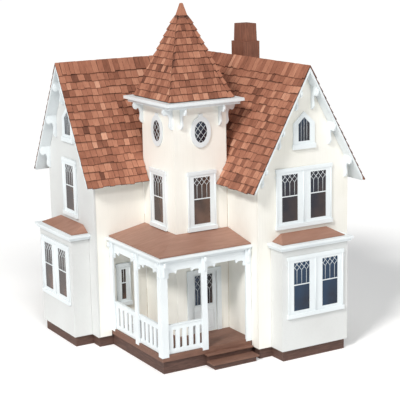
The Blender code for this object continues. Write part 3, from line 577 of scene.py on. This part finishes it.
def spire():
    """Twelve courses on each side of the tower roof, sawn at the hips, with narrow shingles down one side
    of each hip."""
    dice = random.Random(21)
    peak = at(TOWER_X, TOWER_Y, APEX)
    sides = ((0, -1), (-1, 0), (0, 1), (1, 0))
    normals, feet = [], []
    for x, y in sides:
        half = SPIRE_X if x else SPIRE_Y
        normals.append(Vector((x * (APEX - SPIRE_FOOT), y * (APEX - SPIRE_FOOT), half)).normalized())
        feet.append(at(TOWER_X + x * SPIRE_X, TOWER_Y + y * SPIRE_Y, SPIRE_FOOT))
    rise, strip = 10.5, 5.0
    made = []
    for i in range(4):
        out, foot = normals[i], feet[i]
        up = (peak - foot).normalized()
        across = up.cross(out)
        slope = (peak - foot).length / MM
        half = SPIRE_Y if sides[i][0] else SPIRE_X
        share = slope / (APEX - SPIRE_FOOT)
        rows = []
        for n in range(12):
            v = n * rise * share + 0.3
            width = half * (1 - v / slope) + 3.5
            length = 14.2 if n == 11 else 15.8
            rows.append((v, STARTER if n == 0 else COURSE, length, -width, width))
        hips = []
        for j in ((i + 1) % 4, (i - 1) % 4):
            away = (normals[j] - out).normalized()
            hips.append((peak, away))
        right_hand = 0 if (normals[(i + 1) % 4].dot(across) > 0) else 1
        shifted = list(hips)
        point, away = hips[right_hand]
        shifted[right_hand] = (point - away * strip * MM / max(away.dot(across), 0.1) * away.dot(across), away)
        made += patch("spire_side", foot, across, up, rows, shifted, dice, 6.5, 12.5, 0.45)
        # Narrow shingles along the right-hand hip.
        hip_foot = foot + across * half * MM
        hip_up = (peak - hip_foot).normalized()
        hip_across = hip_up.cross(out)
        length = (peak - hip_foot).length / MM
        step = length * rise / (APEX - SPIRE_FOOT)
        rows = [(n * step + 0.3, STARTER if n == 0 else COURSE, 13.5 if n == 11 else 15.8, -strip + 0.2, 2.6)
                for n in range(12)]
        made += patch("spire_hip", hip_foot, hip_across, hip_up, rows, [(point, away)], dice, 8.5, 9.0, 0.5)
    return join(made, "tower_shingles")


def grain_up(piece, tone):
    """Give a hand-made cedar piece the shingles' grain, running up it, and one tone."""
    mesh = piece.data
    if not mesh.uv_layers:
        mesh.uv_layers.new(name="grain")
    mesh.uv_layers[0].name = "grain"
    for loop in mesh.loops:
        co = mesh.vertices[loop.vertex_index].co
        mesh.uv_layers["grain"].data[loop.index].uv = (co.x + co.y, co.z)
    for name, value in (("tone", tone), ("rise", 0.3)):
        mesh.attributes.new(name, "FLOAT", "POINT").data.foreach_set("value", [value] * len(mesh.vertices))


def spire_cap():
    """The blunt four-sided cap on the tower roof."""
    low, high = 539.6, 559.2
    bpy.ops.mesh.primitive_cone_add(vertices=4, radius1=math.sqrt(2) / 2, radius2=0.2, depth=1,
                                    location=(0, 0, 0), rotation=(0, 0, math.pi / 4))
    piece = bpy.context.object
    settle(piece)
    piece.scale = (14.2 * MM, 15.2 * MM, (high - low) * MM)
    piece.location = at(TOWER_X, TOWER_Y, (low + high) / 2)
    settle(piece)
    bpy.ops.object.mode_set(mode="EDIT")
    bpy.ops.mesh.select_all(action="SELECT")
    bpy.ops.mesh.bevel(offset=0.8 * MM, segments=3, affect="EDGES")
    bpy.ops.object.mode_set(mode="OBJECT")
    piece.name = piece.data.name = "tower_cap"
    grain_up(piece, 0.62)
    return done(piece, SHINGLES)


for roof in main_roofs():
    done(roof, None)
done(spire(), None)
spire_cap()
for pattern in (COURSE, STARTER, RIDGE_BOARD):
    bpy.data.objects.remove(pattern)


# ---------------------------------------------------------------- walls' frames

FRONT = heading(HALF_WING, 0, (0, -1))
GABLE = heading(LEFT, RIDGE_Y, (-1, 0))
TOWER_FRONT = heading(TOWER_X, TOWER_Y - TOWER_HALF_Y, (0, -1))
TOWER_LEFT = heading(TOWER_X - TOWER_HALF_X, TOWER_Y, (-1, 0))
TOWER_RIGHT = heading(-GAP, TOWER_Y, (1, 0))
TOWER_BACK = heading(TOWER_X, INNER - GAP, (0, 1))
FRONT_BAY = heading(HALF_WING, -32, (0, -1))
LEFT_BAY = heading(LEFT - 32, RIDGE_Y, (-1, 0))
RIGHT = heading(WING, BACK / 2, (1, 0))
PORCH_WALL = heading(-139.5, INNER, (0, -1))


# ---------------------------------------------------------------- windows

def printed_sash(centre, sill, height, half=15.0, pitch=9.0, drop=13.0):
    """White lines of an upper sash: crossed diagonals in a band at its top, upright bars under them."""
    top = sill + height
    low = sill + height * MEETING_SHARE + 1.5
    lines = []
    lean = 0.9
    for step in (-2, -1, 0, 1, 2):
        for side in (-1, 1):
            start, end = step * pitch, step * pitch + side * drop * lean
            a, b = 0.0, 1.0                               # shares of the diagonal inside the light
            for edge in (-half, half):
                share = (edge - start) / (end - start)
                if (start - edge) * edge > 0:
                    a = max(a, share)
                elif (end - edge) * edge > 0:
                    b = min(b, share)
            if b - a > 0.05:
                lines.append([(centre + start + (end - start) * t, top - drop + drop * t) for t in (a, b)])
        if abs(step * pitch) < half - 1:
            lines.append([(centre + step * pitch, low), (centre + step * pitch, top - drop)])
    return lines


PAIR = (-27.3, 27.3)                      # centres of the two lights of a double window
LIGHT = 30.0                              # a light's width
UPPER_SILL, UPPER_LIGHT = 218.6, 75.5     # feet of the lights and their heights
TOWER_SILL = 212.4
LOWER_SILL, LOWER_LIGHT = 81.3, 78.5
LINE = 0.7                                # a printed line's width
CASING_FACE = 2.25                        # where strips meet the casings' fronts
# Name, wall, centres of its lights, their foot, height and width, how brown the painted room shade on its panes
# is, and the CAD sheet that its panes stand for
SASHES = (
    ("front_double_window", FRONT, PAIR, UPPER_SILL, UPPER_LIGHT, LIGHT, 0.42, "front_double_glass"),
    ("front_bay_window", FRONT_BAY, PAIR, LOWER_SILL, LOWER_LIGHT, LIGHT, 0.02, "front_bay_glass"),
    ("left_bay_window", LEFT_BAY, PAIR, LOWER_SILL, LOWER_LIGHT, LIGHT, 0.62, "left_bay_glass"),
    ("tower_front_window", TOWER_FRONT, (0,), TOWER_SILL, UPPER_LIGHT, LIGHT, 0.72, "tower_front_glass"),
    ("left_upper_window", GABLE, (0,), UPPER_SILL, UPPER_LIGHT, LIGHT, 0.6, None),
    ("tower_side_window", TOWER_LEFT, (0,), TOWER_SILL, UPPER_LIGHT, LIGHT, 0.6, None),
    ("right_lower_window", RIGHT, (0,), LOWER_SILL, LOWER_LIGHT, LIGHT, 0.3, None),
    ("right_upper_window", RIGHT, (0,), 204.0, UPPER_LIGHT, LIGHT, 0.3, None),
    ("porch_window", PORCH_WALL, (0,), 76.5, 51.0, 8.0, 0.6, None))
SHEET_FACE = 1.5                          # the panes' front, inside the casings


def pane(name, wall, outline, warm):
    """One sheet of glazing, its painted room shade browner towards its lower right."""
    piece = fret(name, [outline], 0.8, wall, SHEET_FACE - 0.8, 0.1)
    inverse = wall.inverted()
    spots = [inverse @ vertex.co for vertex in piece.data.vertices]
    left, right = min(p.x for p in spots), max(p.x for p in spots)
    low, high = min(p.y for p in spots), max(p.y for p in spots)
    values = [warm + 0.22 * ((p.x - left) / (right - left) - (p.y - low) / (high - low)) for p in spots]
    piece.data.attributes.new("warm", "FLOAT", "POINT").data.foreach_set("value", values)
    return piece


def box_outline(left, low, right, high):
    return [(left, low), (right, low), (right, high), (left, high)]


def sash_windows():
    """Panes, printed lines and casing strips for every upright window."""
    for name, wall, centres, sill, height, width, warm, glass in SASHES:
        margin, half = -0.03, width / 2
        made = [pane(name + "_pane", wall,
                     box_outline(c - half - margin, sill - margin, c + half + margin, sill + height + margin),
                     warm) for c in centres]
        piece = join(made, name + "_panes")
        if glass:
            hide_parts(glass)
        done(piece, GLASS)
        if width > 20:
            lines = [line for c in centres for line in printed_sash(c, sill, height)]
        else:
            lines = [[(0, sill + height * MEETING_SHARE + 1.5), (0, sill + height)]]
        done(bars(name + "_lines", lines, LINE, wall, SHEET_FACE + 0.15), WHITE)
        casing_trim(name, wall, centres, sill, height, width)


def casing_trim(name, wall, centres, sill, height, width):
    """Thin strips planted on a casing: one down each outer edge, one across its head and one under its
    sill, and a pair with a joint between them where two casings meet."""
    casing = 8.5 if width < 20 else 10.6
    half = width / 2
    left, right = centres[0] - half - casing, centres[-1] + half + casing
    foot, top = sill - 4.4, sill + height + 4.4
    strips = [box_outline(left - 0.1, foot, left + 1.9, top), box_outline(right - 1.9, foot, right + 0.1, top)]
    strips += [box_outline(left - 1.2, top + 4.0, right + 1.2, top + 5.6),
               box_outline(left - 1.2, foot - 2.0, right + 1.2, foot - 0.3)]
    if len(centres) > 1:
        strips += [box_outline(-2.0, foot, -0.35, top), box_outline(0.35, foot, 2.0, top)]
    band = fret(name + "_trim", strips, 1.1, wall, CASING_FACE, 0.3)
    done(band, WHITE)


def attic_windows():
    """A pointed pane with three upright lines under each gable."""
    foot, shoulder, peak, half = 344.7, 372.0, 382.5, 10.8
    for name, wall, warm in (("front_attic", FRONT, 0.25), ("left_attic", GABLE, 0.35)):
        outline = [(-half, foot), (half, foot), (half, shoulder), (0, peak), (-half, shoulder)]
        done(pane(name + "_pane", wall, outline, warm), GLASS)
        lines = [[(0, foot), (0, peak)]]
        for side in (-1, 1):
            lines.append([(side * half / 2, foot), (side * half / 2, (shoulder + peak) / 2)])
        done(bars(name + "_lines", lines, LINE, wall, SHEET_FACE + 0.15), WHITE)


def oval_windows():
    """A pane with a diagonal lattice in each of the tower's ovals."""
    middle, pitch, reach, lean = 360.3, 10.2, 20, 1.15
    for name, wall, warm in (("tower_front_oval", TOWER_FRONT, 0.3), ("tower_side_oval", TOWER_LEFT, 0.5)):
        turns = [math.tau * i / 24 for i in range(24)]
        outline = [(11.85 * math.cos(t), middle + 17.3 * math.sin(t)) for t in turns]
        done(pane(name + "_pane", wall, outline, warm), GLASS)
        lines = []
        for step in range(-2, 3):
            for side in (-1, 1):
                inside = [t for t in [i / 40 - 1 for i in range(81)]
                          if ((step * pitch + side * t * reach) / 11.9) ** 2
                          + (t * reach * lean / 17.4) ** 2 < 1]
                if len(inside) > 2:
                    lines.append([(step * pitch + side * t * reach, middle + t * reach * lean)
                                  for t in (inside[0], inside[-1])])
        done(bars(name + "_lattice", lines, LINE, wall, SHEET_FACE + 0.15), WHITE)


def door_lights():
    """A pane with white lines in each leaf, and mouldings round it and round a panel under it."""
    for side, body in ((-1, "left_leaf"), (1, "right_leaf")):
        x = DOOR_X + side * LEAF_CENTRE
        low, high = 76.7, 126.0
        inset = heading(x, 91.5 + SHEET_FACE, (0, -1))
        outline = box_outline(-5.25, low - 0.05, 5.25, high + 0.05)
        sheet = pane(body + "_pane", inset, outline, 0.1 if side < 0 else 0.4)
        done(sheet, GLASS, body)
        lines = []
        for top in (high - 0.5, high - 12.5):
            lines += [[(-5.2, top - 6), (0, top)], [(0, top), (5.2, top - 6)], [(-5.2, top - 6), (0, top - 12)],
                      [(0, top - 12), (5.2, top - 6)]]
        lines.append([(0, low), (0, high - 24.5)])
        done(bars(body + "_lines", lines, 0.6, heading(x, 91.6, (0, -1)), 0.1), WHITE, body)
        frames = []
        for half, foot, top in ((7.2, 36.5, 67.5), (6.2, 75.9, 126.8)):
            frames.append([(-half, foot), (half, foot), (half, top), (-half, top), (-half, foot)])
        done(bars(body + "_moulding", frames, 1.2, heading(x, 90.8, (0, -1)), 0.0), WHITE, body)


sash_windows()
attic_windows()
oval_windows()
door_lights()


# ---------------------------------------------------------------- brackets

def scroll(scale=1.0, tall=29.0):
    """A sawn scroll bracket's outline: x out from the wall, y down from its top."""
    return [(0, 0), (14.2 * scale, 0), (16.0 * scale, -0.09 * tall, 1), (15.2 * scale, -0.25 * tall, 1),
            (11.6 * scale, -0.33 * tall, 1), (8.8 * scale, -0.27 * tall, 1), (6.6 * scale, -0.34 * tall, 1),
            (5.0 * scale, -0.50 * tall, 1), (5.4 * scale, -0.68 * tall, 1), (6.0 * scale, -0.80 * tall, 1),
            (4.4 * scale, -0.92 * tall, 1), (2.0 * scale, -0.99 * tall, 1), (0, -tall)]


def bracket(name, wall, u, top, scale=1.0, tall=29.0, thickness=2.6, extra=0.0):
    """Stand a scroll bracket on a wall, u along it, its top at a height; extra makes it taller there."""
    outline = [(x, y + (extra if number < 2 else 0), *rest)
               for number, (x, y, *rest) in enumerate(scroll(scale, tall))]
    if extra:
        outline[2:2] = [(14.2 * scale, 0)]
    turned = Matrix(((0, 0, -1, u * MM), (0, 1, 0, top * MM), (1, 0, 0, 0), (0, 0, 0, 1)))
    return fret(name, [outline], thickness, wall @ turned @ Matrix.Translation((0, 0, -thickness / 2 * MM)))


def brackets():
    # Six under each gable's rakes, cut to the soffit.
    c, s = math.cos(PITCH), math.sin(PITCH)
    under = RIDGE_TOP - PLY / c
    for name, wall in (("front_gable", FRONT), ("left_gable", GABLE)):
        made = []
        for reach in (15.3, 47.9, 79.8):
            for side in (-1, 1):
                top = under - reach * math.tan(PITCH) - 1.3
                piece = bracket("rake_bracket", wall, side * reach, top, 1.15, 33.0, 3.2, 7.0)
                point = wall @ Vector((0, under * MM - 0.1 * MM, 0))
                normal = wall.to_3x3() @ Vector((side * s, c, 0))
                made.append(cut(piece, point, normal))
        done(join(made, name + "_brackets"), WHITE, smooth=40)
    # Two at each corner of the tower, under its cornice.
    for name, wall, half in (("tower_front", TOWER_FRONT, 38.5), ("tower_left", TOWER_LEFT, 52),
                             ("tower_right", TOWER_RIGHT, 52), ("tower_back", TOWER_BACK, 38.5)):
        made = [bracket("cornice_bracket", wall, side * (half - 3.4), TOWER_TOP + 0.2, 1.12, 34.0, 3.2)
                for side in (-1, 1)]
        done(join(made, name + "_brackets"), WHITE, smooth=40)
    # Small ones on the porch posts, under the crown.
    porch_front, porch_side = heading(0, PORCH_Y, (0, -1)), heading(PORCH_X, 0, (-1, 0))
    made = [bracket("post_bracket", porch_front, x, 178.4, 0.36, 24.0, 2.6)
            for x in (-5.6, -86.0, -157.5)]
    made += [bracket("post_bracket", porch_side, -y, 178.4, 0.36, 24.0, 2.6) for y in (26.5, 104.0, 189.0)]
    done(join(made, "post_brackets"), WHITE, smooth=40)


brackets()


# ---------------------------------------------------------------- porch trim and door furniture

def porch_trim():
    # Caps on the three railings.
    caps = [batten("cap", (-156.6, 22.6, 76.1), (-91.4, 27.9, 77.9)),
            batten("cap", (-161.6, 26.0, 76.1), (-156.4, 98.6, 77.9)),
            batten("cap", (-161.6, 109.4, 76.1), (-156.4, 183.6, 77.9))]
    done(join(caps, "handrail_caps"), WHITE)
    # The deck's edging, under the posts and between them.
    inner = 3.4
    edging = [batten("edge", (-163.2, 20.8, 20.4), (-0.6, 20.8 + inner, 26.8), 0.3),
              batten("edge", (-163.2, 20.9 + inner, 20.4), (-163.2 + inner, 194.0, 26.8), 0.3),
              batten("edge", (-151.2, 20.8, 26.7), (-91.4, 20.8 + 2.9, 30.4), 0.3),
              batten("edge", (-80.6, 20.8, 26.7), (-11.2, 20.8 + 2.9, 30.4), 0.3),
              batten("edge", (-163.2, 32.8, 26.7), (-163.2 + 2.9, 98.6, 30.4), 0.3),
              batten("edge", (-163.2, 109.4, 26.7), (-163.2 + 2.9, 183.4, 30.4), 0.3)]
    done(join(edging, "porch_edging"), DECKING)
    # Treads on the steps, a little wider than the block's.
    treads = [batten("tread", (-87.4, -5.6, 8.0), (-2.6, 15.4, 10.5), 0.4),
              batten("tread", (-87.4, 11.9, 18.2), (-2.6, 24.6, 20.7), 0.4)]
    done(join(treads, "step_treads"), DECKING)


def door_furniture():
    for side, body in ((-1, "left_leaf"), (1, "right_leaf")):
        x = DOOR_X + side * KNOB_REACH
        bpy.ops.mesh.primitive_uv_sphere_add(segments=20, ring_count=12, radius=1.25 * MM,
                                             location=at(x, 88.3, 76.0))
        knob = bpy.context.object
        settle(knob)
        bpy.ops.mesh.primitive_cylinder_add(vertices=20, radius=0.6 * MM, depth=2.4 * MM,
                                            location=at(x, 89.8, 76.0), rotation=(math.pi / 2, 0, 0))
        neck = settle(bpy.context.object)
        bpy.ops.mesh.primitive_cylinder_add(vertices=24, radius=1.4 * MM, depth=0.5 * MM,
                                            location=at(x, 90.6, 76.0), rotation=(math.pi / 2, 0, 0))
        plate = settle(bpy.context.object)
        done(join([knob, neck, plate], body + "_knob"), BRASS, body, smooth=40)


porch_trim()
door_furniture()


# ---------------------------------------------------------------- finishes on the CAD pieces

def refinish(name, *materials):
    """Give a CAD piece its finishes; the first covers it."""
    mesh = NODES[name].data
    mesh.materials.clear()
    for material in materials:
        mesh.materials.append(material)
    for face in mesh.polygons:
        face.material_index = 0
    return mesh


def lined(name, paint_finish, inside):
    """Paint a wall outside and leave its rooms' side bare: inside tests a face's normal and middle."""
    mesh = refinish(name, paint_finish, BIRCH)
    for face in mesh.polygons:
        if inside(face.normal, face.center):
            face.material_index = 1


def finish_cad():
    for name, out in (("front_wall", (0, -1, 0)), ("left_gable_wall", (-1, 0, 0)),
                      ("wing_side_wall", (-1, 0, 0)), ("left_front_wall", (0, -1, 0)),
                      ("right_wall", (1, 0, 0)), ("tower_front_wall", (0, -1, 0)),
                      ("tower_left_wall", (-1, 0, 0))):
        # The walls in the corner behind the porch take the cream with painted light, the left gable the cream
        # with painted shade.
        finish = (CREAM_PAINTED_SHADE if name == "left_gable_wall" else
                  CREAM if name in ("front_wall", "right_wall") else CREAM_PAINTED_LIGHT)
        lined(name, finish, lambda normal, middle, out=Vector(out): normal.dot(out) < -0.9)
    for name in ("front_bay", "left_bay", "tower_rear_walls"):
        low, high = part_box(name)
        centre = (low + high) / 2
        if name == "front_bay":
            centre.y = high.y
        if name == "left_bay":
            centre.x = high.x

        def inward(normal, middle, centre=centre):
            toward = centre - middle
            return abs(normal.z) < 0.5 and normal.dot(Vector((toward.x, toward.y, 0))) > 0.002
        # The bays take the cream with painted shade, the tower's rear walls the cream with painted light.
        lined(name, CREAM_PAINTED_LIGHT if name == "tower_rear_walls" else CREAM_PAINTED_SHADE, inward)
    for name in ("ground_floor", "second_floor", "attic_floor"):
        refinish(name, BIRCH)
    for name in ("front_wing_roof_right", "front_wing_roof_left", "left_wing_roof_front",
                 "left_wing_roof_rear", "rear_gable_roof_left", "tower_roof"):
        # The plywood tops under the shingles take the same end-grain finish, partly painted shade where it
        # shows between them.
        lined_roof = refinish(name, WHITE, END_GRAIN_AND_SHADE)
        for face in lined_roof.polygons:
            if face.normal.z > 0.2:
                face.material_index = 1
    for name in ("foundation", "porch_steps"):
        refinish(name, BROWN)
    refinish("porch_deck", DECKING)
    for name in ("front_bay_roof", "left_bay_roof", "porch_roof"):
        refinish(name, TAN)
    refinish("chimney", STACK)
    for name in NODES:
        if name.endswith("_glass"):
            refinish(name, GLASS)
        elif name.endswith(("_window", "_oval", "_post", "_cornice", "_leaf")) or "railing" in name \
                or "frieze" in name or name in ("tower_cornice", "door_frame"):
            refinish(name, WHITE)


finish_cad()


# ---------------------------------------------------------------- stage

def studio():
    """White paper under three soft suns and a faint dome. The paper glows a little so that it stays white,
    and the camera sees the dome as plain white."""
    bpy.ops.mesh.primitive_plane_add(size=30, location=(0, 0, 0))
    floor = bpy.context.object
    floor.name = "studio_floor"
    material, tree, shader = blank("matt_white_paper", 0.9)
    place = add(tree, "ShaderNodeTexCoord")
    mottle = add(tree, "ShaderNodeTexNoise", {"Vector": place.outputs["Object"], "Scale": 3.0})
    tint = add(tree, "ShaderNodeValToRGB", {"Fac": mottle.outputs["Fac"]},
               stops=[(0.3, "fdfdfd"), (0.7, "ffffff")])
    tree.links.new(tint.outputs["Color"], shader.inputs["Base Color"])
    shader.inputs["Specular IOR Level"].default_value = 0.0
    shader.inputs["Emission Color"].default_value = (1, 1, 1, 1)
    shader.inputs["Emission Strength"].default_value = 0.1
    floor.data.materials.append(material)

    world = bpy.data.worlds.new("studio")
    bpy.context.scene.world = world
    world.use_nodes = True
    tree = world.node_tree
    dome = tree.nodes["Background"]
    dome.inputs["Color"].default_value = (0.93, 0.97, 1.0, 1.0)
    dome.inputs["Strength"].default_value = 0.2
    plain = add(tree, "ShaderNodeBackground", {"Color": (1, 1, 1, 1), "Strength": 1.0})
    seen = add(tree, "ShaderNodeLightPath")
    mixed = add(tree, "ShaderNodeMixShader", {0: seen.outputs["Is Camera Ray"], 1: dome.outputs["Background"],
                                              2: plain.outputs["Background"]})
    tree.links.new(mixed.outputs["Shader"], tree.nodes["World Output"].inputs["Surface"])

    for name, azimuth, elevation, power, spread, colour in (
            ("key", -62, 38, 2.3, 12, (1.0, 0.985, 0.96)), ("fill", -14, 38, 1.0, 16, (1.0, 0.99, 0.975)),
            ("top", -30, 80, 0.35, 30, (1.0, 1.0, 1.0))):
        light = bpy.data.lights.new(name, "SUN")
        light.energy, light.angle, light.color = power, math.radians(spread), colour
        lamp = bpy.data.objects.new(name, light)
        bpy.context.scene.collection.objects.link(lamp)
        a, e = math.radians(azimuth), math.radians(elevation)
        back = Vector((math.sin(a) * math.cos(e), -math.cos(a) * math.cos(e), math.sin(e)))
        lamp.rotation_mode = "QUATERNION"
        lamp.rotation_quaternion = (-back).to_track_quat("-Z", "Y")

    camera = bpy.data.cameras.new("camera")
    camera.lens, camera.sensor_width = 112.97, 36.0
    camera.dof.use_dof = False
    camera.clip_start, camera.clip_end = 0.05, 60
    stand = bpy.data.objects.new("camera", camera)
    bpy.context.scene.collection.objects.link(stand)
    yaw, pitch, roll = (math.radians(v) for v in (-30.25, 12.2, -1.11))
    stand.matrix_world = (Matrix.Translation((-1.01549, -1.77017, 0.67304)) @ Matrix.Rotation(yaw, 4, "Z")
                          @ Matrix.Rotation(math.pi / 2 - pitch, 4, "X") @ Matrix.Rotation(roll, 4, "Z"))
    bpy.context.scene.camera = stand
    bpy.context.scene.view_settings.view_transform = "Standard"


studio()
